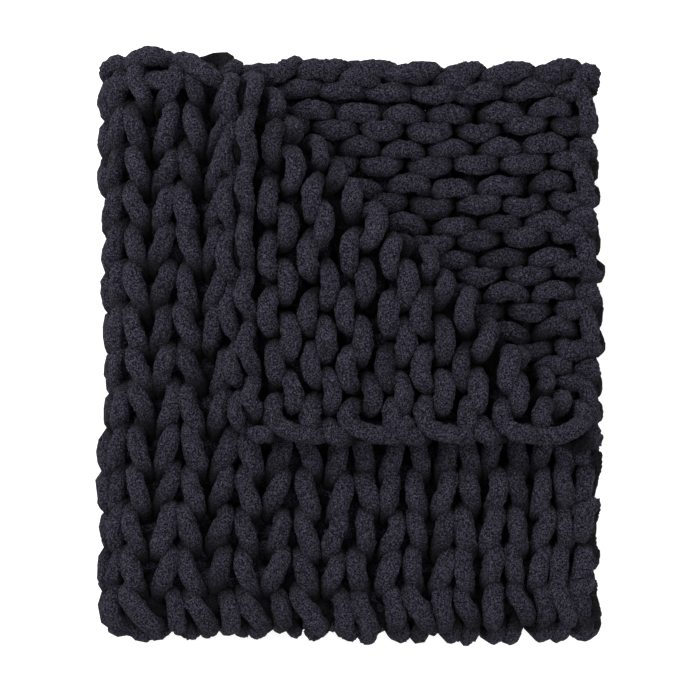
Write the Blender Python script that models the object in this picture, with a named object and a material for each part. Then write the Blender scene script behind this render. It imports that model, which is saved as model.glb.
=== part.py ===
"""A jumbo chenille throw, hand knitted in stocking stitch, folded in four with one corner turned down.

The cloth is one knitted sheet. It is first laid out flat and measured in stitches: a counts wales
across it and b counts courses along it, both from the two fold lines. The slab of the sheet gets its
stitches raised on the faces that show, and is then folded at the bottom, folded at the left, and
turned at its top right corner. Metres, +Z up, +Y towards the top edge as the throw lies.
"""

import math

import bmesh
import bpy
import numpy as np

# How it is knitted, from chenille 26 mm thick.
LEG_LEAN = 0.45  # wales by which the legs of a stitch spread, for each course upwards
WALE = 0.0670  # usual width of a stitch
COURSE = 0.0500  # usual height of a stitch

# The sheet: wales and courses on each side of the two fold lines.
WALES_TOP, WALES_UNDER = 9.7, 9.3
COURSES_OUTER, COURSES_INNER = 14.5, 15.5
EDGE_DRAW = 0.32  # wales lost where the selvage pulls the last stitches together
EDGE_DRAW_OVER = 1.3  # wales over which it does

# How each layer of the folded pile is stretched, from the top one down.
LAYERS = (
    {"layer": 1, "wale": 0.0684, "course": 0.0502},
    {"layer": 2, "wale": 0.0625, "course": 0.0466},
    {"layer": 3, "wale": 0.0660, "course": 0.0466},
    {"layer": 4, "wale": 0.0716, "course": 0.0500},
)
LAYER_PITCH = 0.036
LAYER_BLEND = 1.2  # courses at the bottom fold over which one layer's stretch passes into the next's
CLOTH_GAP = 0.002
THICK = LAYER_PITCH - CLOTH_GAP
HALF = THICK / 2

# Where the pile lies: centre lines of the two folds, and the line that the corner is turned about.
LEFT_FOLD_X = -0.2459
BOTTOM_FOLD_Y = -0.3336
TURN_TOP = (-0.1480, 0.3650)  # outer edge of the turn at the top edge
TURN_SIDE = (0.3043, -0.1065)  # and at the right edge
TURN_BOW = 0.011  # its outer edge bulges this much halfway
TURN_BOW_REACH = 0.07
TURN_SLIP = 0.085  # the turned corner slides along the fold as it comes down
TURN_SHRINK = 0.945
FLAP_LEFT_X = -0.148
FLAP_BOTTOM_Y = -0.110

# Fineness of the faces, in cuts for each stitch.
FINE_ACROSS = 4
FINE_ALONG = 4
PLAIN_CELL = 2  # stitches in a cell that is hidden
FOLD_CUTS = 4  # cuts for each stitch round the bottom and left folds
BOTTOM_FOLD_LINES = 3  # cuts on each side of the bottom fold line
LEFT_FOLD_LINES = 5  # cuts on each side of the left fold line
CORNER_WALES = 1.3  # wales on each side of the left fold that bend with it
CORNER_EASE = 0.045  # the layers slide past each other over one and a half times this, near the corner
CREASE_CLEAR = 0.03  # no stitch is raised so close to the line where the corner turns
TURN_CUTS = 8  # cuts across the turned fold
TURN_PROBE = (-4.0, -10.0)  # a stitch in the turned corner, far from every other fold
SHOW_MARGIN = 0.03
BESIDE = 0.02  # a point this close to the line between two stitches belongs to both
FACE_HEIGHT = 0.9  # share of the half thickness above which a face belongs to the knit or purl side

# The raised stitches: metres below the crest, up one course of a stitch, at its centre line, on its
# two legs, and between it and the next one.
KNIT_SIDE = (
    {"up": -0.50, "centre": 0.0110, "leg": 0.0075, "between": 0.0125},
    {"up": -0.25, "centre": 0.0100, "leg": 0.0030, "between": 0.0125},
    {"up": 0.00, "centre": 0.0120, "leg": 0.0005, "between": 0.0110},
    {"up": 0.25, "centre": 0.0125, "leg": 0.0000, "between": 0.0090},
    {"up": 0.50, "centre": 0.0110, "leg": 0.0075, "between": 0.0125},
)
PURL_SIDE = (
    {"up": -0.50, "centre": 0.0080, "leg": 0.0025, "between": 0.0080},
    {"up": -0.25, "centre": 0.0000, "leg": 0.0060, "between": 0.0120},
    {"up": 0.00, "centre": 0.0085, "leg": 0.0120, "between": 0.0085},
    {"up": 0.25, "centre": 0.0120, "leg": 0.0060, "between": 0.0000},
    {"up": 0.50, "centre": 0.0080, "leg": 0.0025, "between": 0.0080},
)

# The rounded edges, and the slow unevenness of the pile.
RIM_INSET = 0.005
RIM_SOFTEN = 0.62
RIM_BULGE = 0.0025
UNEVEN_HEIGHT = 0.035  # share of the height by which the pile's top rises and falls
UNEVEN_SIDE = 0.0035
UNDER_SPREAD = 0.006  # the lower layers stick out by this much at the sides
UNDER_DROP = 0.0048  # and at the bottom
SPREAD_FROM = 0.3  # metres from the middle at which they reach it

# Slow waves: radians in a metre of x, y and z, and the phase.
SWELL_ACROSS = {"x": 5.1, "phase": 1.3}
SWELL_ALONG = {"y": 4.3, "phase": 0.4}
SWELL_SLANTED = {"x": 9.0, "y": -7.0, "share": 0.5}
SWAY_ACROSS = {"y": 13.0, "z": 22.0}
SWAY_ALONG = {"x": 11.0, "z": 25.0, "phase": 1.0}
PILE_CENTRE = (0.0027, -0.0020)  # middle of the folded pile, brought to the origin

MATERIAL_COLOUR = (0.036, 0.034, 0.043, 1.0)
QUARTER = math.pi / 2
BOTTOM_ARC = QUARTER * LAYER_PITCH / 2
TURN_ARC = math.pi * LAYER_PITCH / 2


def smooth_step(value):
    """0 below 0, 1 above 1, and a smooth rise between."""
    held = np.clip(value, 0.0, 1.0)
    return held * held * (3 - 2 * held)


def drawn_in(count, total):
    """Wales from the fold line, with the last ones at the selvage pulled together."""
    start = total - EDGE_DRAW_OVER
    return count - EDGE_DRAW * smooth_step((count - start) / EDGE_DRAW_OVER / 2) * 2


def stretched(a, b):
    """Distances in metres from the two fold lines, along the cloth, for a place counted in stitches."""
    inner = smooth_step(b / LAYER_BLEND + 0.5)
    top = np.where(a < 0, 1.0, 0.0)
    outer_wale = top * LAYERS[0]["wale"] + (1 - top) * LAYERS[3]["wale"]
    inner_wale = top * LAYERS[1]["wale"] + (1 - top) * LAYERS[2]["wale"]
    wale = outer_wale + (inner_wale - outer_wale) * inner
    wales = np.where(a < 0, WALES_TOP, WALES_UNDER)
    across = np.sign(a) * drawn_in(np.abs(a), wales) * wale
    course = np.where(b < 0, LAYERS[0]["course"], LAYERS[1]["course"])
    return across, b * course


def fold_at_bottom(along, off):
    """Lays the sheet double, knit side outwards: y, height in the pair, and the eased height there."""
    radius = LAYER_PITCH / 2
    angle = np.clip(along / radius, -QUARTER, QUARTER)
    past = np.maximum(np.abs(along) - BOTTOM_ARC, 0.0)
    y = BOTTOM_FOLD_Y - (radius + off) * np.cos(angle) + past
    eased = np.clip(along / CORNER_EASE, -QUARTER, QUARTER)
    return y, (radius + off) * np.sin(angle), radius * np.sin(eased)


def fold_at_left(across, lift, middle):
    """Lays the pair double once more, its lower sheet outermost."""
    radius = LAYER_PITCH - lift
    middle_radius = LAYER_PITCH - middle
    angle = np.clip(across / middle_radius, -QUARTER, QUARTER)
    past = np.maximum(np.abs(across) - QUARTER * middle_radius, 0.0)
    x = LEFT_FOLD_X - radius * np.cos(angle) + past
    return x, -radius * np.sin(angle)


def turn_frame():
    """Start point, direction along the turn, and direction out over the turned corner."""
    run = np.subtract(TURN_SIDE, TURN_TOP)
    run = run / np.hypot(*run)
    out = np.array((-run[1], run[0]))
    start = np.array(TURN_TOP) - out * (LAYER_PITCH / 2 + HALF)
    return start, run, out


def beyond_turn(x, y):
    """How far a place of the top layer lies past the line where the turn begins."""
    start, _, out = turn_frame()
    return (x - start[0]) * out[0] + (y - start[1]) * out[1]


def turn_corner(x, y, off):
    """Bends the top layer up and back over itself past the turn's line: x, y and rise."""
    start, run, out = turn_frame()
    far = beyond_turn(x, y)
    along = (x - start[0]) * run[0] + (y - start[1]) * run[1]
    radius = LAYER_PITCH / 2
    angle = np.clip(far / radius, 0.0, math.pi)
    back = np.maximum(far - TURN_ARC, 0.0)
    reach = np.minimum(far, 0.0) + (radius - off) * np.sin(angle) - back * TURN_SHRINK
    rise = radius - (radius - off) * np.cos(angle)
    along = along + back * TURN_SLIP
    length = math.dist(TURN_TOP, TURN_SIDE)
    bow = TURN_BOW * np.sin(math.pi * np.clip(along / length, 0.0, 1.0))
    reach = reach + bow * np.exp(-np.maximum(radius + HALF - reach, 0.0) / TURN_BOW_REACH)
    return (
        start[0] + along * run[0] + reach * out[0],
        start[1] + along * run[1] + reach * out[1],
        rise,
    )


def settle(x, y, z):
    """The pile's slow unevenness: it keeps the order of the layers and the flat underside."""
    across = np.sin(SWELL_ACROSS["x"] * x + SWELL_ACROSS["phase"])
    along = np.sin(SWELL_ALONG["y"] * y + SWELL_ALONG["phase"])
    slanted = np.sin(SWELL_SLANTED["x"] * x + SWELL_SLANTED["y"] * y)
    swell = (across * along + SWELL_SLANTED["share"] * slanted) / (1 + SWELL_SLANTED["share"])
    low = 1 - smooth_step(z / (4 * LAYER_PITCH))
    spread = UNDER_SPREAD * low * smooth_step(np.abs(x) / SPREAD_FROM)
    sway_x = UNEVEN_SIDE * np.sin(SWAY_ACROSS["y"] * y + SWAY_ACROSS["z"] * z)
    sway_y = UNEVEN_SIDE * np.sin(SWAY_ALONG["x"] * x + SWAY_ALONG["z"] * z + SWAY_ALONG["phase"])
    return (
        x + np.sign(x) * spread + sway_x - PILE_CENTRE[0],
        y - UNDER_DROP * low + sway_y - PILE_CENTRE[1],
        z * (1 + UNEVEN_HEIGHT * swell),
    )


def folded(a, b, off):
    """The place in the folded pile of a point of the sheet, off metres to the knit side of its middle."""
    across, along = stretched(a, b)
    y, lift, middle = fold_at_bottom(along, off)
    x, z = fold_at_left(across, lift, middle)
    centre = 1.5 * LAYER_PITCH
    turned_x, turned_y, rise = turn_corner(x, y, z - centre)
    is_top = (a < 0) & (b < 0) & (beyond_turn(x, y) > 0)
    x = np.where(is_top, turned_x, x)
    y = np.where(is_top, turned_y, y)
    z = np.where(is_top, centre + rise, z)
    return settle(x, y, z + 1.5 * LAYER_PITCH + HALF)


def hollow_depth(a, b, side):
    """How far the surface lies below the crest of the stitches, on the knit side (1) or purl side (-1)."""
    place_across = np.mod(a + WALES_TOP, 1.0) - 0.5
    place_up = 0.5 - np.mod(b + COURSES_OUTER, 1.0)
    table = KNIT_SIDE if side > 0 else PURL_SIDE
    heights = [row["up"] for row in table]
    columns = [
        np.interp(place_up, heights, [row[name] for row in table])
        for name in ("centre", "leg", "between")
    ]
    far = np.abs(place_across) * 4
    near_share = np.clip(1 - far, 0, 1)
    far_share = np.clip(far - 1, 0, 1)
    depth = columns[0] * near_share + columns[2] * far_share
    return depth + columns[1] * (1 - near_share - far_share)


def leaned(a, b):
    """Wales by which a place of the knit side moves, so that the legs of its stitch spread upwards."""
    place_across = np.mod(a + WALES_TOP, 1.0) - 0.5
    place_up = 0.5 - np.mod(b + COURSES_OUTER, 1.0)
    return LEG_LEAN * np.sin(2 * math.pi * place_across) * place_up * np.cos(math.pi * place_up)


def nominal_place(a, b):
    """Where a place of the top two layers lies in plan before the corner is turned."""
    across, along = stretched(a, b)
    y, lift, middle = fold_at_bottom(along, 0 * b)
    x, _ = fold_at_left(across, lift, middle)
    return x, y


def shows(a, b, side):
    """Whether a stitch shows from outside, so that its face is cut finely and raised."""
    a, b = np.array([a]), np.array([b])
    x, y = nominal_place(a, b)
    far = beyond_turn(x, y)[0]
    x, y, a, b = x[0], y[0], a[0], b[0]
    if side > 0 and b < 0.7:
        beside_flap = x < FLAP_LEFT_X + SHOW_MARGIN or y < FLAP_BOTTOM_Y + SHOW_MARGIN
        on_top = a < 0 and far < -CREASE_CLEAR and beside_flap
        return bool(on_top or 0 <= a < 1.0 or abs(b) < 0.5)
    if side < 0 and a < 0:
        turned = b < 0 and far > 0.0
        under = b > 0 and far > SHOW_MARGIN
        return bool(turned or under)
    return False


def cut(bm, faces, point, normal):
    """Splits these faces along a plane, and leaves the others whole."""
    if faces:
        edges = {edge for face in faces for edge in face.edges}
        verts = {vert for face in faces for vert in face.verts}
        bmesh.ops.bisect_plane(
            bm, geom=list(faces) + list(edges) + list(verts), dist=1e-5, plane_co=point, plane_no=normal
        )


def face_side(face):
    """1 on the knit face of the slab, -1 on the purl face and 0 on its rim."""
    height = face.calc_center_median().z
    if abs(height) < FACE_HEIGHT:
        return 0
    return 1 if height > 0 else -1


def cut_lattice(bm, axis, positions, wanted):
    """Cuts the wanted faces at each position along axis 0 (across) or 1 (along)."""
    normal = [0, 0, 0]
    normal[axis] = 1
    for position in positions:
        point = [0, 0, 0]
        point[axis] = position
        faces = []
        for face in bm.faces:
            places = [vert.co[axis] for vert in face.verts]
            if min(places) < position - 1e-4 < position + 1e-4 < max(places) and wanted(face):
                faces.append(face)
        cut(bm, faces, point, normal)


def stitch_at(a, b):
    """Middle of the stitch that a place of the sheet belongs to."""
    return (
        math.floor(a + WALES_TOP) + 0.5 - WALES_TOP,
        math.floor(b + COURSES_OUTER) + 0.5 - COURSES_OUTER,
    )


def any_face(_):
    """Wants every face cut."""
    return True


def knit_face(face):
    """Wants only the knit side cut."""
    return face_side(face) > 0


def near_left_fold(face):
    """Wants the faces cut that bend round the left fold."""
    return abs(face.calc_center_median().x) < CORNER_WALES


def flat_slab():
    """The sheet before it is folded, counted in stitches, with -1 to 1 through its thickness."""
    bm = bmesh.new()
    bmesh.ops.create_cube(bm, size=2.0)
    wales = WALES_TOP + WALES_UNDER
    courses = COURSES_OUTER + COURSES_INNER
    bmesh.ops.scale(bm, vec=(wales / 2, courses / 2, 1), verts=bm.verts)
    middle = ((WALES_UNDER - WALES_TOP) / 2, (COURSES_INNER - COURSES_OUTER) / 2, 0)
    bmesh.ops.translate(bm, vec=middle, verts=bm.verts)

    across = [i - WALES_TOP for i in range(1, round(wales))]
    along = [j - COURSES_OUTER for j in range(1, round(courses))]
    cut_lattice(bm, 0, across[::PLAIN_CELL] + across[-1:], any_face)
    cut_lattice(bm, 1, along[::PLAIN_CELL] + along[-1:], any_face)
    cut_lattice(bm, 2, [0.0], any_face)

    # The folds need close lines on both faces to bend round.
    bottom_lines = [k / FOLD_CUTS for k in range(-BOTTOM_FOLD_LINES, BOTTOM_FOLD_LINES + 1)]
    left_lines = [k / FOLD_CUTS for k in range(-LEFT_FOLD_LINES, LEFT_FOLD_LINES + 1)]
    cut_lattice(bm, 1, bottom_lines[::BOTTOM_FOLD_LINES], any_face)
    cut_lattice(bm, 1, bottom_lines, knit_face)
    cut_lattice(bm, 0, left_lines, any_face)
    cut_lattice(bm, 1, bottom_lines, near_left_fold)

    known = {}

    def fine(face):
        side = face_side(face)
        if side == 0:
            return False
        centre = face.calc_center_median()
        key = (*stitch_at(centre.x, centre.y), side)
        if key not in known:
            known[key] = shows(*key)
        return known[key]

    cut_lattice(bm, 0, across, fine)
    cut_lattice(bm, 1, along, fine)
    cut_lattice(bm, 0, [i / FINE_ACROSS - WALES_TOP for i in range(round(wales) * FINE_ACROSS)], fine)
    cut_lattice(bm, 1, [j / FINE_ALONG - COURSES_OUTER for j in range(round(courses) * FINE_ALONG)], fine)
    cut_turn(bm)
    many_sided = [face for face in bm.faces if len(face.verts) > 4]
    bmesh.ops.triangulate(bm, faces=many_sided, ngon_method="BEAUTY")
    return bm


def cut_turn(bm):
    """Lines across the turned corner's fold, so that it bends round and not in steps."""
    a, b = TURN_PROBE
    x, y = nominal_place(np.array((a, a - 1, a)), np.array((b, b, b - 1)))
    far, a_before, b_before = beyond_turn(x, y)
    slope = math.hypot(far - a_before, far - b_before)
    normal = ((far - a_before) / slope, (far - b_before) / slope, 0)
    for step in range(TURN_CUTS + 1):
        shift = (TURN_ARC * step / TURN_CUTS - far) / slope
        point = (a + normal[0] * shift, b + normal[1] * shift, 0)
        only_purl = step % (TURN_CUTS // 2) != 0
        faces = [
            face
            for face in bm.faces
            if face.calc_center_median().x < 0
            and face.calc_center_median().y < 0
            and not (only_purl and face_side(face) > 0)
        ]
        cut(bm, faces, point, normal)


def raised(points):
    """The points with their stitches: spread legs, and distance to the knit side of the sheet's middle."""
    a, b, side = points[:, 0].copy(), points[:, 1], points[:, 2]
    off = side * HALF
    depth = np.where(side > 0, hollow_depth(a, b, 1), hollow_depth(a, b, -1))
    lean = np.where(side > 0, leaned(a, b), 0.0)
    for index in range(len(points)):
        in_crease = side[index] > 0 and b[index] > 0 and abs(a[index]) < CORNER_WALES
        if abs(side[index]) < FACE_HEIGHT or in_crease:
            continue
        near = [
            shows(*stitch_at(a[index] + nudge, b[index] + push), side[index])
            for nudge in (-BESIDE, BESIDE)
            for push in (-BESIDE, BESIDE)
        ]
        if all(near):
            off[index] -= side[index] * depth[index]
            a[index] += lean[index]
    return np.column_stack((a, b, side)), off


def round_rim(points, leaning, off):
    """Draws the slab's edges in, and lets each stitch at the edge bulge."""
    low = np.array((-WALES_TOP, -COURSES_OUTER))
    high = np.array((WALES_UNDER, COURSES_INNER))
    size = np.array((WALE, COURSE))
    moved = leaning.copy()
    for axis in (0, 1):
        other = 1 - axis
        bulge = RIM_BULGE * np.cos(2 * math.pi * (points[:, other] - low[other]) + math.pi)
        for edge, sign in ((low[axis], -1), (high[axis], 1)):
            at_edge = np.abs(points[:, axis] - edge) < 1e-3
            on_face = np.abs(points[:, 2]) > FACE_HEIGHT
            shift = np.where(on_face, -RIM_INSET + bulge, bulge) / size[axis]
            moved[at_edge, axis] = edge + sign * shift[at_edge]
            off = np.where(at_edge & on_face, np.sign(points[:, 2]) * HALF * RIM_SOFTEN, off)
    return moved, off


def chenille():
    """Matt charcoal chenille."""
    material = bpy.data.materials.new("charcoal chenille")
    material.use_nodes = True
    shader = material.node_tree.nodes["Principled BSDF"]
    shader.inputs["Base Color"].default_value = MATERIAL_COLOUR
    shader.inputs["Roughness"].default_value = 0.95
    shader.inputs["Metallic"].default_value = 0.0
    shader.inputs["Sheen Weight"].default_value = 0.3
    material.diffuse_color = MATERIAL_COLOUR
    return material


def throw():
    """The knitted sheet, raised and folded into its pile."""
    bm = flat_slab()
    points = np.array([vert.co[:] for vert in bm.verts])
    leaning, off = raised(points)
    points, off = round_rim(points, leaning, off)
    x, y, z = folded(points[:, 0], points[:, 1], off)
    for vert, place in zip(bm.verts, zip(x, y, z)):
        vert.co = place
    bmesh.ops.triangulate(bm, faces=bm.faces, quad_method="SHORT_EDGE")
    bmesh.ops.recalc_face_normals(bm, faces=bm.faces)
    mesh = bpy.data.meshes.new("throw")
    bm.to_mesh(mesh)
    bm.free()
    mesh.materials.append(chenille())
    mesh.shade_smooth()
    mesh.set_sharp_from_angle(angle=math.radians(60))
    return bpy.data.objects.new("throw", mesh)


def main():
    for obj in list(bpy.data.objects):
        bpy.data.objects.remove(obj)
    collection = bpy.data.collections.new("chenille throw")
    bpy.context.scene.collection.children.link(collection)
    collection.objects.link(throw())


main()
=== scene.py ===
"""The looks of a jumbo chenille throw: its one yarn, knitted stitch by stitch and folded with the cloth.

Every loop of the stocking stitch is a stretch of the same fat yarn. The yarn's path is worked out on
the flat cloth, counted in wales (a) and courses (b) from the two fold lines, and carried into the
folded pile by the same folds as the solid's. Metres, +Z up, +Y towards the top edge.
"""

import math

import bmesh
import bpy
import numpy as np
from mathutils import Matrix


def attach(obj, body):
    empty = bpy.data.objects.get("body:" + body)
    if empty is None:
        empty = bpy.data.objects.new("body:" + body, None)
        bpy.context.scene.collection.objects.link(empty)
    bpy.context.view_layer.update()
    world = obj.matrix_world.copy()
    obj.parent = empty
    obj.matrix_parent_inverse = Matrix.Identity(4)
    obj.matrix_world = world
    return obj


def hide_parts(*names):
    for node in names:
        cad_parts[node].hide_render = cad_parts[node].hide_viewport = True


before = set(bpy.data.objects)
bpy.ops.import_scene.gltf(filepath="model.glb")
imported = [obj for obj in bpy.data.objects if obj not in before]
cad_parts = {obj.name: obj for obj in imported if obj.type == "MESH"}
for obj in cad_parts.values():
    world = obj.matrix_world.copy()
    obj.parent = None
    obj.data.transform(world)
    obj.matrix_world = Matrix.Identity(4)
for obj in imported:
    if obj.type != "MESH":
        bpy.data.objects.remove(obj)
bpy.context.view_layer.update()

# The cloth and its folds, as in the solid.
WALES_TOP, WALES_UNDER = 9.7, 9.3
COURSES_OUTER, COURSES_INNER = 14.5, 15.5
EDGE_DRAW, EDGE_DRAW_OVER = 0.32, 1.3
TOP_LAYER = {"wale": 0.0684, "course": 0.0502}
SECOND_LAYER = {"wale": 0.0625, "course": 0.0466}
THIRD_LAYER = {"wale": 0.0660, "course": 0.0466}
FLOOR_LAYER = {"wale": 0.0716, "course": 0.0500}
LAYER_PITCH = 0.036
LAYERS = 4
LAYER_BLEND = 1.2  # courses at the bottom fold over which one layer's stretch passes into the next's
HALF = 0.017
CORNER_EASE = 0.045
LEFT_FOLD_X = -0.2459
BOTTOM_FOLD_Y = -0.3336
TURN_TOP = (-0.1480, 0.3650)
TURN_SIDE = (0.3043, -0.1065)
TURN_BOW, TURN_BOW_REACH = 0.011, 0.07
TURN_SLIP, TURN_SHRINK = 0.085, 0.945
UNEVEN_HEIGHT, UNEVEN_SIDE = 0.035, 0.0035
UNDER_SPREAD, UNDER_DROP, SPREAD_FROM = 0.006, 0.0048, 0.3
# Slow waves of the pile: radians in a metre of x, y and z, and the phase.
SWELL_ACROSS = {"x": 5.1, "phase": 1.3}
SWELL_ALONG = {"y": 4.3, "phase": 0.4}
SWELL_SLANTED = {"x": 9.0, "y": -7.0, "share": 0.5}
SWAY_ACROSS = {"y": 13.0, "z": 22.0}
SWAY_ALONG = {"x": 11.0, "z": 25.0, "phase": 1.0}
PILE_CENTRE = (0.0027, -0.0020)  # middle of the folded pile, brought to the origin
QUARTER = math.pi / 2
BOTTOM_ARC = QUARTER * LAYER_PITCH / 2
TURN_ARC = math.pi * LAYER_PITCH / 2

YARN_RADIUS = 0.0111
# The path of one stitch where the knit side shows and where the purl side shows.
STITCH = {
    "swing": (0.170, 0.205),  # wales by which the legs spread
    "reach": (0.81, 0.76),  # courses from the middle of a stitch to its head and foot
    "flat": (0.60, 1.00),  # how flat the arcs of head and foot are
    "depth": (0.0175, 0.0155),  # metres from the middle of the cloth to legs and heads
    "hold": (1.5, 1.6),  # how long the yarn stays in front or behind before it crosses over
    "front": (0.13, 0.0),  # how much less of the yarn is in front than behind
    "upper_front": (0.10, 0.02),  # how far the front of a leg lies towards its upper end
    "tilt": (0.0050, 0.0),  # metres by which the heads lie nearer the knit side than the feet
    "shift": (-0.0060, 0.0050),  # metres by which the yarn lies nearer the knit side
}
# The first feet on the turned corner lie below its chain: courses inwards, metres down, share thinner.
SINK = {"in": 0.34, "off": 0.015, "thin": 0.35}
SINK_FROM, SINK_OVER = -13.8, 0.5  # courses below which a foot sinks, and over which it does
# Near the left fold the legs spread more: by how much, and where that begins and ends, all in wales.
OPEN_SWING = 0.034
OPEN_FROM, OPEN_OVER = -5.2, 2.4
OPEN_TO, OPEN_FADE = 3.0, 2.0
WALES, COURSES = 19, 29
EDGE_WALE, EDGE_COURSE = 0.21, 0.90  # the outermost stitches stay this far inside the cloth's edges
COURSE_STEP = (COURSES_OUTER + COURSES_INNER - 2 * EDGE_COURSE) / (COURSES - 1)
POINTS = 50  # along the yarn of one stitch
RING = {"shown": 26, "hidden": 12}  # and round it
POINTED = 0.02  # share of its thickness that the yarn has left at the ends of a piece
# The pieces in which the yarn is made, and the layer of the pile that each is in.
PIECES = (
    {"name": "knit_turned_corner", "layer": 1, "shown": True},
    {"name": "knit_top_layer_by_the_chain", "layer": 1, "shown": True},
    {"name": "knit_top_layer_by_the_fold", "layer": 1, "shown": True},
    {"name": "knit_second_layer_bare", "layer": 2, "shown": True},
    {"name": "knit_second_layer_covered", "layer": 2, "shown": False},
    {"name": "knit_third_layer", "layer": 3, "shown": False},
    {"name": "knit_floor_layer", "layer": 4, "shown": False},
)
CORNER, BY_CHAIN, BY_FOLD, BARE, COVERED, THIRD, FLOOR = range(len(PIECES))
HIDDEN_THICK = 1.45  # times as thick, yarn that no one sees fills the gaps that would show the floor
HIDDEN_WITHIN = {"x": 0.295, "y": 0.345}  # metres; within these, no yarn below the second layer is seen
HIDDEN_FROM = {"x": -0.16, "y": -0.14}  # left of this or below it, the second layer is hidden too
HIDDEN_STEP = 2  # of its points, every second one is enough

# The strand at a selvage between two courses: wales inwards, courses on from the middle, metres off.
EDGE_STRAND = (
    {"in": 0.02, "on": -1.16, "off": -0.002},
    {"in": -0.03, "on": -0.76, "off": -0.013},
    {"in": 0.07, "on": -0.31, "off": -0.014},
    {"in": 0.25, "on": 0.02, "off": -0.006},
    {"in": 0.30, "on": 0.24, "off": 0.008},
    {"in": 0.12, "on": 0.19, "off": 0.014},
    {"in": -0.07, "on": 0.12, "off": 0.003},
    {"in": -0.07, "on": 0.36, "off": -0.009},
)
FIRST_STRAND_OFF = -0.012  # metres off, where the first of them comes from the chain
STRAND_POINTS = 7
STRAND_CUT = 0.22  # share of a stitch that the course it joins leaves out
TURNED_TO = -5.5  # courses up to which the selvage is on the turned corner and runs the other way
END_POINTS, END_LEFT = 6, 0.01  # points over which the yarn rounds off at its ends, and what is left

# One link of the chain along a cast-on or bound-off edge, in links, half widths and depths.
LINK = (
    {"along": 0.00, "across": -0.20, "lift": -1.6},
    {"along": 0.14, "across": -0.70, "lift": -0.3},
    {"along": 0.46, "across": -1.00, "lift": 1.0},
    {"along": 0.80, "across": -1.10, "lift": 0.2},
    {"along": 1.10, "across": -0.10, "lift": -1.5},
    {"along": 1.24, "across": 0.75, "lift": -0.2},
    {"along": 0.92, "across": 1.10, "lift": 1.0},
    {"along": 0.58, "across": 1.20, "lift": 0.2},
    {"along": 0.28, "across": 0.30, "lift": -1.4},
    {"along": 0.62, "across": 0.00, "lift": -1.9},
)
LINK_HALF_WIDTH, LINK_DEPTH = 0.0136, 0.0120  # metres
LINK_THICK, LINK_SWELL = 0.98, 0.10  # share of the yarn's thickness, and how much more it is on top
LINK_JITTER = {"along": 0.04, "across": 0.10, "lift": 0.10}
LINK_LIT, LINK_FADE = 0.3, 1.6  # depths below which a link darkens with painted shade, and over which it does
LINK_SHADE = 0.6  # and how dark that painted shade gets
LINK_POINTS = 7
CHAIN_INSET = 0.30  # courses from the cloth's edge to the middle of its chain
CHAIN_END = 0.25  # wales from a selvage to the chain's end
CHAIN_SPARE = 0.3  # links by which the last one reaches further
ROLL_FROM, ROLL_OVER = -1.5, 1.8  # wales where the chain starts to turn its face, and over which it does
ROLL_FLAT = 0.9  # how much the back of the chain is flattened where it stands on edge
ROLL_IN = 0.14  # courses by which it is drawn in there
# Along the turned corner: how far the chain is turned over, how much thinner it is, and courses inwards.
FLAP_ROLL, FLAP_THIN, FLAP_INSET = 1.20 * math.pi, 0.12, 0.14

# How unlike the stitches are: share of a wale, share of a course, metres, share of the thickness.
UNLIKE = {"across": 0.036, "up": 0.07, "off": 0.0018, "thick": 0.05}
UNLIKE_MOST = 1.8  # times that, at the most
# How far rows and columns stray, near by and over many stitches: wales, courses and metres.
STRAY_NEAR = {"across": 0.03, "up": 0.03, "off": 0.0012}
STRAY_FAR = {"across": 0.04, "up": 0.05}
FAR = {"shortest": 4.0, "longest": 12.0}
# The columns below the turned corner crowd to the right: wales by which, from where, over how many, and
# the courses where that begins and over which it grows.
CROWDED = {"by": 0.27, "from": -1.2, "over": 8.6, "above": -8, "grows": 2}

# The pile. The yarn is thicker on the side that shows, and rough in shares of its radius.
SWELL = 0.11
NAP_FINE, NAP_COARSE, NAP_MOST = 0.070, 0.060, 0.2
CREST = 0.0115  # metres from the middle of the cloth to the crest of the side that shows
TUCK_SHADE_FROM, TUCK_SHADE_OVER = 0.002, 0.010  # metres below the crest where painted shade starts to darken the yarn, and over which it deepens
# the most painted shade, where the yarn lies deepest behind the crest
TUCK_SHADE_MOST = 0.93
# The tufts are really about a millimetre across, which is less than a pixel of the picture. They are drawn
# 2.3 mm across to show, with a crumb of 1.8 mm and clumps of 11 mm.
TUFT, CRUMB, CLUMP = 1 / 430, 1 / 560, 1 / 90
TUFT_CREASE_SHADE = 0.45  # painted shade: how much darker it is between tufts than on them
SPECK = {"From Min": 0.10, "From Max": 0.44}
SMALL_BUMP = {"Strength": 1.0, "Distance": 0.003}
LARGE_BUMP = {"Strength": 0.7, "Distance": 0.006}
# The darkest colour is painted shade on yarn that lies deep behind the crest.
# The first colour is that of the dark specks and of the painted shade between tufts.
COLOURS = {"speck_and_crease_shade": "#0d0c13", "tuft": "#444150", "painted_tuck_shade": "#040306"}
PILE = {"Roughness": 1.0, "Specular IOR Level": 0.05, "Sheen Weight": 0.02, "Sheen Roughness": 0.6}

# What the throw lies on, and where it is seen from.
FLOOR_CLEAR, FLOOR_PRESS = 0.0004, 0.010  # metres left below the yarn, and up to which it is flattened
FLOOR_REACH = 6.0
PAPER = {"Roughness": 0.9, "Emission Color": (1, 1, 1, 1), "Emission Strength": 0.35}
SKY = {"Color": (1, 1, 1, 1), "Strength": 0.8}
LAMPS = (
    {"name": "key", "place": (-1.3, 1.3, 1.7), "size": 1.4, "power": 60},
    {"name": "fill", "place": (1.5, -0.9, 1.9), "size": 1.8, "power": 25},
)
PIXEL = 0.00126  # metres of the top layer in one pixel of the photograph
FRAME_PIXELS = 700
CAMERA_HEIGHT, CAMERA_LOWER = 2.6, 0.002  # metres up, and towards the bottom fold
SENSOR, SIGHT = 36, 20  # millimetres wide, and metres far


def smooth_step(value):
    """0 below 0, 1 above 1, and a smooth rise between."""
    held = np.clip(value, 0.0, 1.0)
    return held * held * (3 - 2 * held)


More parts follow.
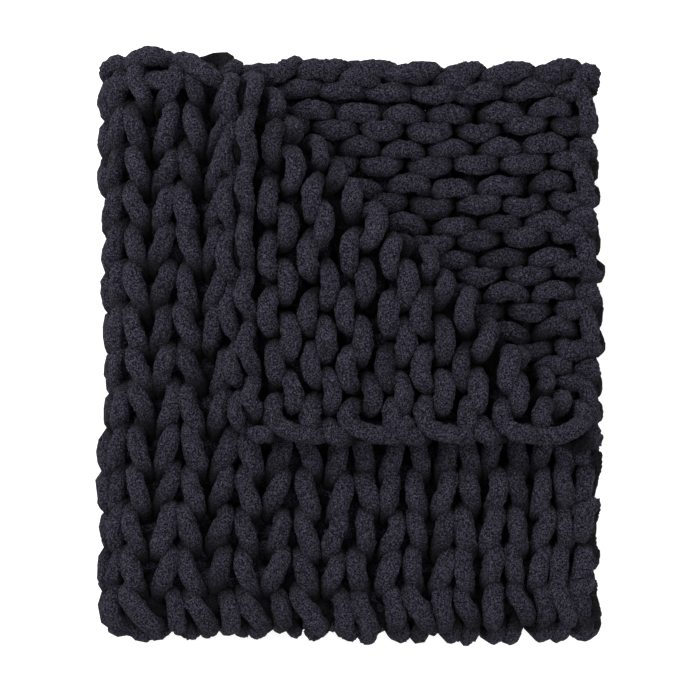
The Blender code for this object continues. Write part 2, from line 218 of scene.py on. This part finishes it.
def drawn_in(count, total):
    """Wales from the fold line, with the last ones at the selvage pulled together."""
    start = total - EDGE_DRAW_OVER
    return count - EDGE_DRAW * smooth_step((count - start) / EDGE_DRAW_OVER / 2) * 2


def stretched(a, b):
    """Distances along the cloth from the two fold lines."""
    inner = smooth_step(b / LAYER_BLEND + 0.5)
    top = a < 0
    outer_wale = np.where(top, TOP_LAYER["wale"], FLOOR_LAYER["wale"])
    inner_wale = np.where(top, SECOND_LAYER["wale"], THIRD_LAYER["wale"])
    wale = outer_wale + (inner_wale - outer_wale) * inner
    across = np.sign(a) * drawn_in(np.abs(a), np.where(top, WALES_TOP, WALES_UNDER)) * wale
    return across, b * np.where(b < 0, TOP_LAYER["course"], SECOND_LAYER["course"])


def fold_at_bottom(along, off):
    """Lays the sheet double, knit side outwards: y, height in the pair, and the eased height there."""
    radius = LAYER_PITCH / 2
    angle = np.clip(along / radius, -QUARTER, QUARTER)
    past = np.maximum(np.abs(along) - BOTTOM_ARC, 0.0)
    y = BOTTOM_FOLD_Y - (radius + off) * np.cos(angle) + past
    eased = np.clip(along / CORNER_EASE, -QUARTER, QUARTER)
    return y, (radius + off) * np.sin(angle), radius * np.sin(eased)


def fold_at_left(across, lift, middle):
    """Lays the pair double once more, its lower sheet outermost."""
    middle_radius = LAYER_PITCH - middle
    angle = np.clip(across / middle_radius, -QUARTER, QUARTER)
    past = np.maximum(np.abs(across) - QUARTER * middle_radius, 0.0)
    radius = LAYER_PITCH - lift
    return LEFT_FOLD_X - radius * np.cos(angle) + past, -radius * np.sin(angle)


def turn_frame():
    """Start point, direction along the turn, and direction out over the turned corner."""
    run = np.subtract(TURN_SIDE, TURN_TOP)
    run = run / np.hypot(*run)
    out = np.array((-run[1], run[0]))
    return np.array(TURN_TOP) - out * (LAYER_PITCH / 2 + HALF), run, out


def beyond_turn(x, y):
    """How far a place of the top layer lies past the line where the turn begins."""
    start, _, out = turn_frame()
    return (x - start[0]) * out[0] + (y - start[1]) * out[1]


def turn_corner(x, y, off):
    """Bends the top layer up and back over itself past the turn's line: x, y and rise."""
    start, run, out = turn_frame()
    far = beyond_turn(x, y)
    along = (x - start[0]) * run[0] + (y - start[1]) * run[1]
    radius = LAYER_PITCH / 2
    angle = np.clip(far / radius, 0.0, math.pi)
    back = np.maximum(far - TURN_ARC, 0.0)
    reach = np.minimum(far, 0.0) + (radius - off) * np.sin(angle) - back * TURN_SHRINK
    rise = radius - (radius - off) * np.cos(angle)
    along = along + back * TURN_SLIP
    bow = TURN_BOW * np.sin(math.pi * np.clip(along / math.dist(TURN_TOP, TURN_SIDE), 0.0, 1.0))
    reach = reach + bow * np.exp(-np.maximum(radius + HALF - reach, 0.0) / TURN_BOW_REACH)
    return start[0] + along * run[0] + reach * out[0], start[1] + along * run[1] + reach * out[1], rise


def settle(x, y, z):
    """The pile's slow unevenness: it keeps the order of the layers and the flat underside."""
    across = np.sin(SWELL_ACROSS["x"] * x + SWELL_ACROSS["phase"])
    along = np.sin(SWELL_ALONG["y"] * y + SWELL_ALONG["phase"])
    slanted = np.sin(SWELL_SLANTED["x"] * x + SWELL_SLANTED["y"] * y)
    swell = across * along + SWELL_SLANTED["share"] * slanted
    low = 1 - smooth_step(z / (LAYERS * LAYER_PITCH))
    spread = UNDER_SPREAD * low * smooth_step(np.abs(x) / SPREAD_FROM)
    sway_x = UNEVEN_SIDE * np.sin(SWAY_ACROSS["y"] * y + SWAY_ACROSS["z"] * z)
    sway_y = UNEVEN_SIDE * np.sin(SWAY_ALONG["x"] * x + SWAY_ALONG["z"] * z + SWAY_ALONG["phase"])
    return (
        x + np.sign(x) * spread + sway_x - PILE_CENTRE[0],
        y - UNDER_DROP * low + sway_y - PILE_CENTRE[1],
        z * (1 + UNEVEN_HEIGHT * swell / (1 + SWELL_SLANTED["share"])),
    )


def folded(a, b, off):
    """The place in the pile of a point of the cloth, off metres to the knit side of its middle."""
    across, along = stretched(a, b)
    y, lift, middle = fold_at_bottom(along, off)
    x, z = fold_at_left(across, lift, middle)
    centre = 1.5 * LAYER_PITCH
    turned_x, turned_y, rise = turn_corner(x, y, z - centre)
    is_top = (a < 0) & (b < 0) & (beyond_turn(x, y) > 0)
    x = np.where(is_top, turned_x, x)
    y = np.where(is_top, turned_y, y)
    z = np.where(is_top, centre + rise, z)
    return np.stack(settle(x, y, z + centre + HALF), axis=-1)


def drift(a, b, seed, waves=6, shortest=1.6, longest=5.0):
    """A smooth random value about -1 to 1 over the cloth, from a few slanted waves."""
    rng = np.random.default_rng(seed)
    total = np.zeros_like(a)
    for _ in range(waves):
        length = rng.uniform(shortest, longest)
        turn, phase = rng.uniform(0, 2 * math.pi, 2)
        total += np.sin(2 * math.pi * (a * math.cos(turn) + b * math.sin(turn)) / length + phase)
    return total / math.sqrt(waves)


def past_the_turn(a, b):
    """How far a place of the cloth lies past the line where the top layer's corner is turned."""
    across, along = stretched(a, b)
    y, lift, middle = fold_at_bottom(along, 0 * b)
    x, _ = fold_at_left(across, lift, middle)
    return beyond_turn(x, y)


def purl_shown(a, b):
    """1 where the purl side of the cloth is seen from above, 0 where the knit side is."""
    turned = smooth_step(2 * past_the_turn(a, b) / TURN_ARC) * (b < 0)
    return np.where(a < 0, np.maximum(turned, smooth_step(b)), 0.0)


def unlike(t, seed):
    """How each leg and each head of a course differs from the rest: across, up, off and thickness."""
    values = np.random.default_rng(seed).normal(size=(len(UNLIKE), 2, 2 * WALES + 2))
    values = np.clip(values, -UNLIKE_MOST, UNLIKE_MOST)
    leg = np.clip(np.floor(t / math.pi), 0, 2 * WALES).astype(int)
    head = np.clip(np.round(t / math.pi), 0, 2 * WALES).astype(int)
    share = np.sin(t) ** 2
    return values[:, 0, leg] * share + values[:, 1, head] * (1 - share)


def course_points(index):
    """The yarn of one course: arrays a, b, off and thickness."""
    t = np.arange(WALES * POINTS + 1) * 2 * math.pi / POINTS
    width = (WALES_TOP + WALES_UNDER - 2 * EDGE_WALE) / WALES
    middle_a = -WALES_TOP + EDGE_WALE + t / (2 * math.pi) * width
    middle_b = -COURSES_OUTER + EDGE_COURSE + index * COURSE_STEP
    purl = purl_shown(middle_a, middle_b)
    shape = {name: knit + (other - knit) * purl for name, (knit, other) in STITCH.items()}
    opened = smooth_step((middle_a - OPEN_FROM) / OPEN_OVER) * smooth_step((OPEN_TO - middle_a) / OPEN_FADE)
    swing = shape["swing"] + OPEN_SWING * (opened * (1 - purl))
    across, up, off, thick = unlike(t, seed=100 + index)
    front = np.cos(2 * (t - shape["upper_front"] * np.sin(t))) + shape["front"]
    lean = np.tanh(shape["hold"] * front)
    rise = shape["reach"] * np.tanh(shape["flat"] * np.cos(t)) / np.tanh(shape["flat"])
    off = shape["shift"] - shape["depth"] * lean - shape["tilt"] * np.cos(t) + UNLIKE["off"] * off
    sunk = purl * smooth_step((SINK_FROM - middle_b - rise) / SINK_OVER)
    return (
        middle_a + swing * np.sin(2 * t) * width + UNLIKE["across"] * across,
        middle_b + rise - UNLIKE["up"] * up + SINK["in"] * sunk,
        off + SINK["off"] * sunk,
        1 + UNLIKE["thick"] * thick - SWELL * np.cos(2 * t) * (1 - 2 * purl) - SINK["thin"] * sunk,
    )


def wandering(a, b, off):
    """The hand knitter's unevenness: rows and columns that lie a little out of line."""
    place = np.clip((CROWDED["from"] - a) / CROWDED["over"], 0, 1)
    crowded = np.sin(math.pi * place) ** 2 * smooth_step((b - CROWDED["above"]) / CROWDED["grows"])
    near_a, near_b, near_off = (drift(a, b, seed) for seed in (11, 21, 31))
    far_a, far_b = (drift(a, b, seed, **FAR) for seed in (12, 22))
    moved_a = a - CROWDED["by"] * crowded * smooth_step(1 - b)
    moved_a = moved_a + STRAY_NEAR["across"] * near_a + STRAY_FAR["across"] * far_a
    moved_b = b + STRAY_NEAR["up"] * near_b + STRAY_FAR["up"] * far_b
    return moved_a, moved_b, off + STRAY_NEAR["off"] * near_off


def painted_tuck_shade(a, b, off):
    """Painted shade: 0 on the crest of the side that shows, rising to its most where the yarn lies deepest
    behind it.
    """
    purl = purl_shown(a, b)
    below = CREST - off * (1 - 2 * purl)
    return TUCK_SHADE_MOST * smooth_step((below - TUCK_SHADE_FROM) / TUCK_SHADE_OVER)


def strand_middle(index):
    """Courses from the bottom fold to the middle of the strand that follows a course."""
    return -COURSES_OUTER + EDGE_COURSE + (index + 0.5) * COURSE_STEP + STITCH["reach"][1]


def edge_strand(before, after, side, middle, way):
    """The strand at a selvage from one course to the next. Its way is -1 along the turned corner."""
    edge = WALES_UNDER - EDGE_WALE if side > 0 else EDGE_WALE - WALES_TOP
    rows = EDGE_STRAND[::way]
    between = (
        [edge - side * row["in"] for row in rows],
        [middle + way * row["on"] for row in rows],
        [row["off"] for row in rows],
        [1.0] * len(rows),
    )
    return [
        through(np.array([first, *line, last]), STRAND_POINTS)[1:-1]
        for first, line, last in zip(before, between, after)
    ]


def whole_yarn():
    """The knitted yarn from the chain to the last course, back and forth between the selvages."""
    courses = [
        [values[:: -1 if index % 2 else 1] for values in course_points(index)] for index in range(COURSES)
    ]
    cut = round(STRAND_CUT * POINTS)
    courses[0] = [values[cut:] for values in courses[0]]
    start = EDGE_WALE - WALES_TOP, CHAIN_INSET - COURSES_OUTER, FIRST_STRAND_OFF, 1.0
    first = [values[0] for values in courses[0]]
    runs = [edge_strand(start, first, side=-1, middle=strand_middle(-1), way=-1)]
    for index in range(COURSES - 1):
        side = -1 if index % 2 else 1
        middle = strand_middle(index)
        way = -1 if side < 0 and middle < TURNED_TO else 1
        if way > 0:
            courses[index] = [values[:-cut] for values in courses[index]]
        else:
            courses[index + 1] = [values[cut:] for values in courses[index + 1]]
        before = [values[-1] for values in courses[index]]
        after = [values[0] for values in courses[index + 1]]
        runs += [courses[index], edge_strand(before, after, side, middle, way)]
    a, b, off, thick = (np.concatenate(parts) for parts in zip(*runs, courses[-1]))
    # the last array is the painted shade of each point
    return a, b, off, thick * rounded_ends(len(a)), painted_tuck_shade(a, b, off)


def rounded_ends(count):
    """1 along a yarn of so many points, falling to END_LEFT at both ends as on a ball."""
    to_end = np.minimum(np.arange(count), np.arange(count)[::-1]) / END_POINTS
    return np.sqrt(1 + END_LEFT**2 - (1 - np.minimum(to_end, 1)) ** 2)


def through(values, per_piece):
    """A smooth line through a row of values, per_piece points from each to the next."""
    padded = np.concatenate(([2 * values[0] - values[1]], values, [2 * values[-1] - values[-2]]))
    share = np.arange(per_piece) / per_piece
    before, here, there, beyond = (padded[i : len(padded) - 3 + i, None] for i in range(4))
    pull = there - before
    next_pull = beyond - here
    line = (
        here
        + pull * share / 2
        + (3 * (there - here) - pull - next_pull / 2) * share**2
        + (2 * (here - there) + (pull + next_pull) / 2) * share**3
    )
    return np.append(line.ravel(), values[-1])


def chain_yarn(b_edge, seed):
    """The chain of loops along an edge: it faces the knit side near the left fold, the purl side beyond."""
    rng = np.random.default_rng(seed)
    links = np.arange(WALES).repeat(len(LINK))
    jitter = rng.normal(size=(3, len(links)))
    along, across, lift = (
        through(np.tile([row[name] for row in LINK], WALES) + shift, LINK_POINTS)
        for name, shift in (
            ("along", links + LINK_JITTER["along"] * jitter[0]),
            ("across", LINK_JITTER["across"] * jitter[1]),
            ("lift", LINK_JITTER["lift"] * jitter[2]),
        )
    )
    room = (WALES_TOP + WALES_UNDER - 2 * CHAIN_END) / (WALES + CHAIN_SPARE)
    a = WALES_UNDER - CHAIN_END - along * room
    rolled = smooth_step((ROLL_FROM - a) / ROLL_OVER)
    roll = (FLAP_ROLL if b_edge < 0 else math.pi) * rolled
    sideways = across * LINK_HALF_WIDTH
    height = lift * LINK_DEPTH * (1 - ROLL_FLAT * np.sin(roll) ** 2 * (lift < 0))
    toward = np.sign(b_edge)
    b = b_edge + (sideways * np.cos(roll) - height * np.sin(roll) * toward) / TOP_LAYER["course"]
    b = b + FLAP_INSET * rolled * (b_edge < 0) - toward * ROLL_IN * np.clip(np.sin(roll), 0, 1)
    off = sideways * np.sin(roll) * toward + height * np.cos(roll)
    thickness = LINK_THICK - FLAP_THIN * rolled * (b_edge < 0) + LINK_SWELL * np.clip(lift, -1, 1)
    # Painted shade on the parts of the links that sink below the chain's top
    shade = LINK_SHADE * smooth_step((LINK_LIT - lift) / LINK_FADE)
    return a, b, off, thickness * rounded_ends(len(a)), shade


def press_on_floor(mesh):
    """Flattens the undersides that would sink into the surface on which the throw lies."""
    places = np.empty(len(mesh.vertices) * 3)
    mesh.vertices.foreach_get("co", places)
    z = places[2::3]
    low = FLOOR_CLEAR + FLOOR_PRESS * np.exp((z - FLOOR_PRESS) / FLOOR_PRESS)
    places[2::3] = np.where(z < FLOOR_PRESS + FLOOR_CLEAR, np.minimum(low, FLOOR_PRESS + FLOOR_CLEAR), z)
    mesh.vertices.foreach_set("co", places)


def rough(mesh, ring, seed):
    """Raises and lowers the pile at random along and round the yarn."""
    places = np.empty(len(mesh.vertices) * 3)
    mesh.vertices.foreach_get("co", places)
    rings = places.reshape(-1, ring, 3)
    rng = np.random.default_rng(seed)
    fine, wide = rng.normal(size=(2,) + rings.shape[:2])
    # Nine neighbours' random values added up and divided by three spread as much as each does.
    coarse = sum(np.roll(wide, (i, j), (0, 1)) for i in range(3) for j in range(3)) / 3
    nap = np.clip(NAP_FINE * fine + NAP_COARSE * coarse, -NAP_MOST, NAP_MOST)
    middle = rings.mean(axis=1, keepdims=True)
    rings[:] = middle + (rings - middle) * (1 + nap[:, :, None])
    mesh.vertices.foreach_set("co", places)


def in_scene(name, data):
    """A new object in the scene."""
    obj = bpy.data.objects.new(name, data)
    bpy.context.scene.collection.objects.link(obj)
    return obj


def tube(name, runs, radius, ring):
    """Round yarn along each run of points, as one mesh with so many points round it."""
    curve = bpy.data.curves.new(name, "CURVE")
    curve.dimensions = "3D"
    curve.bevel_depth = radius
    curve.bevel_resolution = ring // 2 - 2  # a ring has four points at 0, and two more for each step
    curve.use_fill_caps = False
    for points, thickness, _ in runs:
        spline = curve.splines.new("POLY")
        spline.points.add(len(points) - 1)
        flat = np.ones((len(points), 4), np.float32)
        flat[:, :3] = points
        spline.points.foreach_set("co", flat.ravel())
        spline.points.foreach_set("radius", thickness.astype(np.float32))
    holder = in_scene(name + ".curve", curve)
    bpy.context.view_layer.update()
    evaluated = holder.evaluated_get(bpy.context.evaluated_depsgraph_get())
    mesh = bpy.data.meshes.new_from_object(evaluated)
    mesh.name = name
    rough(mesh, ring, len(runs))
    press_on_floor(mesh)
    # Painted shade for each point of the yarn, darker where it lies deep behind the crest or a chain link
    # sinks, kept on the mesh as an attribute
    shade = np.concatenate([shade for _, _, shade in runs])
    depth = mesh.attributes.new("painted_tuck_shade", "FLOAT", "POINT")
    depth.data.foreach_set("value", np.repeat(shade, len(mesh.vertices) // len(shade)).astype(np.float32))
    bpy.data.objects.remove(holder)
    bpy.data.curves.remove(curve)
    mesh.shade_smooth()
    return in_scene(name, mesh)


def linear(hex_colour):
    """An sRGB hex colour as linear RGBA."""
    parts = [int(hex_colour[i : i + 2], 16) / 255 for i in (1, 3, 5)]
    return [p / 12.92 if p <= 0.04045 else ((p + 0.055) / 1.055) ** 2.4 for p in parts] + [1.0]


def add(tree, kind, settings=None, inputs=None):
    """One node with its settings, and its inputs set or linked."""
    node = tree.nodes.new(kind)
    for key, value in (settings or {}).items():
        setattr(node, key, value)
    for key, value in (inputs or {}).items():
        if isinstance(value, bpy.types.NodeSocket):
            tree.links.new(value, node.inputs[key])
        else:
            node.inputs[key].default_value = value
    return node


def colour_mix(tree, share, first, second):
    """One colour passing into another, each a hex colour or a socket."""
    node = add(tree, "ShaderNodeMix", {"data_type": "RGBA"}, {"Factor": share})
    for name, value in (("A", first), ("B", second)):
        if isinstance(value, str):
            node.inputs[name].default_value = linear(value)
        else:
            tree.links.new(value, node.inputs[name])
    return node.outputs["Result"]


def chenille():
    """Charcoal chenille: short cut pile, so matt, with a soft crumb and a faint sheen at grazing angles."""
    material = bpy.data.materials.new("charcoal_chenille_pile")
    material.use_nodes = True
    tree = material.node_tree
    shader = tree.nodes["Principled BSDF"]
    place = add(tree, "ShaderNodeTexCoord").outputs["Object"]
    fine = {"Vector": place, "Scale": 1 / CRUMB, "Detail": 2.0, "Roughness": 0.7}
    crumb = add(tree, "ShaderNodeTexNoise", {}, fine)
    clump = add(tree, "ShaderNodeTexNoise", {}, {"Vector": place, "Scale": 1 / CLUMP, "Detail": 1.0})
    tufts = add(tree, "ShaderNodeTexVoronoi", {}, {"Vector": place, "Scale": 1 / TUFT, "Randomness": 1.0})
    # Painted shade between tufts: darker towards the edges of each tuft's cell, added to the crumb's random
    # tone
    lit = add(
        tree,
        "ShaderNodeMath",
        {"operation": "MULTIPLY_ADD"},
        {0: tufts.outputs["Distance"], 1: -TUFT_CREASE_SHADE, 2: crumb.outputs["Fac"]},
    )
    speck = add(
        tree,
        "ShaderNodeMapRange",
        {"interpolation_type": "SMOOTHSTEP"},
        {"Value": lit.outputs["Value"], **SPECK},
    ).outputs["Result"]
    tone = colour_mix(tree, speck, COLOURS["speck_and_crease_shade"], COLOURS["tuft"])
    # Painted shade: the colour darkens towards the darkest one where the yarn lies deep behind the crest
    tuck_shade = add(tree, "ShaderNodeAttribute", {"attribute_name": "painted_tuck_shade"})
    shaded = colour_mix(tree, tuck_shade.outputs["Fac"], tone, COLOURS["painted_tuck_shade"])
    tree.links.new(shaded, shader.inputs["Base Color"])
    small = add(tree, "ShaderNodeBump", {}, {**SMALL_BUMP, "Height": speck})
    both = {**LARGE_BUMP, "Height": clump.outputs["Fac"], "Normal": small.outputs["Normal"]}
    large = add(tree, "ShaderNodeBump", {}, both)
    tree.links.new(large.outputs["Normal"], shader.inputs["Normal"])
    for name, value in PILE.items():
        shader.inputs[name].default_value = value
    return material


def piece_of(a, b):
    """Which of the PIECES a point of the cloth is in."""
    past = past_the_turn(a, b) > 0
    top = np.where(past, CORNER, np.where(b < -COURSES_OUTER / 2, BY_CHAIN, BY_FOLD))
    second = np.where(past, BARE, COVERED)
    return np.where(a < 0, np.where(b < 0, top, second), np.where(b < 0, FLOOR, THIRD))


def runs_by_piece(a, b, off, thickness, shade):
    """The yarn cut where it passes from one piece into the next, with pointed ends that reach into it."""
    piece = piece_of(a, b)
    points = folded(*wandering(a, b, off))
    result = [[] for _ in PIECES]
    for part in np.split(np.arange(len(a)), np.flatnonzero(np.diff(piece)) + 1):
        place = piece[part[0]]
        step = 1 if PIECES[place]["shown"] else HIDDEN_STEP
        first, last = max(part[0] - step - 1, 0), min(part[-1] + step + 1, len(a) - 1)
        chosen = np.append(np.arange(first, last, step), last)
        thick = thickness[chosen]
        thick[[0, -1]] = POINTED
        result[place].append((points[chosen], thick, shade[chosen]))
    return result


def thicken_hidden(layer, runs):
    """Makes the yarn of the lower layers thicker where no one sees it."""
    for points, thickness, _ in runs:
        x, y = points[:, 0], points[:, 1]
        inside = np.maximum(np.abs(x) / HIDDEN_WITHIN["x"], np.abs(y) / HIDDEN_WITHIN["y"]) < 1
        covered = (x < HIDDEN_FROM["x"]) | (y < HIDDEN_FROM["y"])
        thickness[inside & (covered | (layer > 2))] *= HIDDEN_THICK


def build_throw():
    """The knitted yarn and the chains at both ends of the knitting, as the PIECES."""
    material = chenille()
    runs = runs_by_piece(*whole_yarn())
    for edge, seed in ((CHAIN_INSET - COURSES_OUTER, 51), (COURSES_INNER - CHAIN_INSET, 52)):
        runs = [some + more for some, more in zip(runs, runs_by_piece(*chain_yarn(edge, seed)))]
    for piece, own in zip(PIECES, runs):
        if piece["layer"] > 1:
            thicken_hidden(piece["layer"], own)
        knit = tube(piece["name"], own, YARN_RADIUS, RING["shown" if piece["shown"] else "hidden"])
        knit.data.materials.append(material)
        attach(knit, "root")
        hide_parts("throw")


def studio():
    """A pale floor, soft overhead light and the camera straight above."""
    floor_mesh = bpy.data.meshes.new("floor")
    sheet = bmesh.new()
    bmesh.ops.create_grid(sheet, x_segments=1, y_segments=1, size=FLOOR_REACH)
    sheet.to_mesh(floor_mesh)
    sheet.free()
    paper = bpy.data.materials.new("white_paper")
    paper.use_nodes = True
    shader = paper.node_tree.nodes["Principled BSDF"]
    shader.inputs["Base Color"].default_value = linear("#f4f4f4")
    for name, value in PAPER.items():
        shader.inputs[name].default_value = value
    floor_mesh.materials.append(paper)
    in_scene("floor", floor_mesh)

    world = bpy.data.worlds.new("studio")
    bpy.context.scene.world = world
    world.use_nodes = True
    for name, value in SKY.items():
        world.node_tree.nodes["Background"].inputs[name].default_value = value
    for lamp in LAMPS:
        light = bpy.data.lights.new(lamp["name"], "AREA")
        light.energy = lamp["power"]
        light.size = lamp["size"]
        holder = in_scene(lamp["name"], light)
        x, y, z = lamp["place"]
        holder.location = x, y, z
        holder.rotation_euler = math.atan2(math.hypot(x, y), z), 0, math.atan2(y, x) + QUARTER

    camera = bpy.data.cameras.new("camera")
    camera.sensor_width = SENSOR
    camera.lens = SENSOR * (CAMERA_HEIGHT - LAYERS * LAYER_PITCH) / (PIXEL * FRAME_PIXELS)
    camera.clip_end = SIGHT
    seat = in_scene("camera", camera)
    seat.location = -PILE_CENTRE[0], -CAMERA_LOWER - PILE_CENTRE[1], CAMERA_HEIGHT
    bpy.context.scene.camera = seat
    bpy.context.scene.view_settings.view_transform = "Standard"


studio()
build_throw()
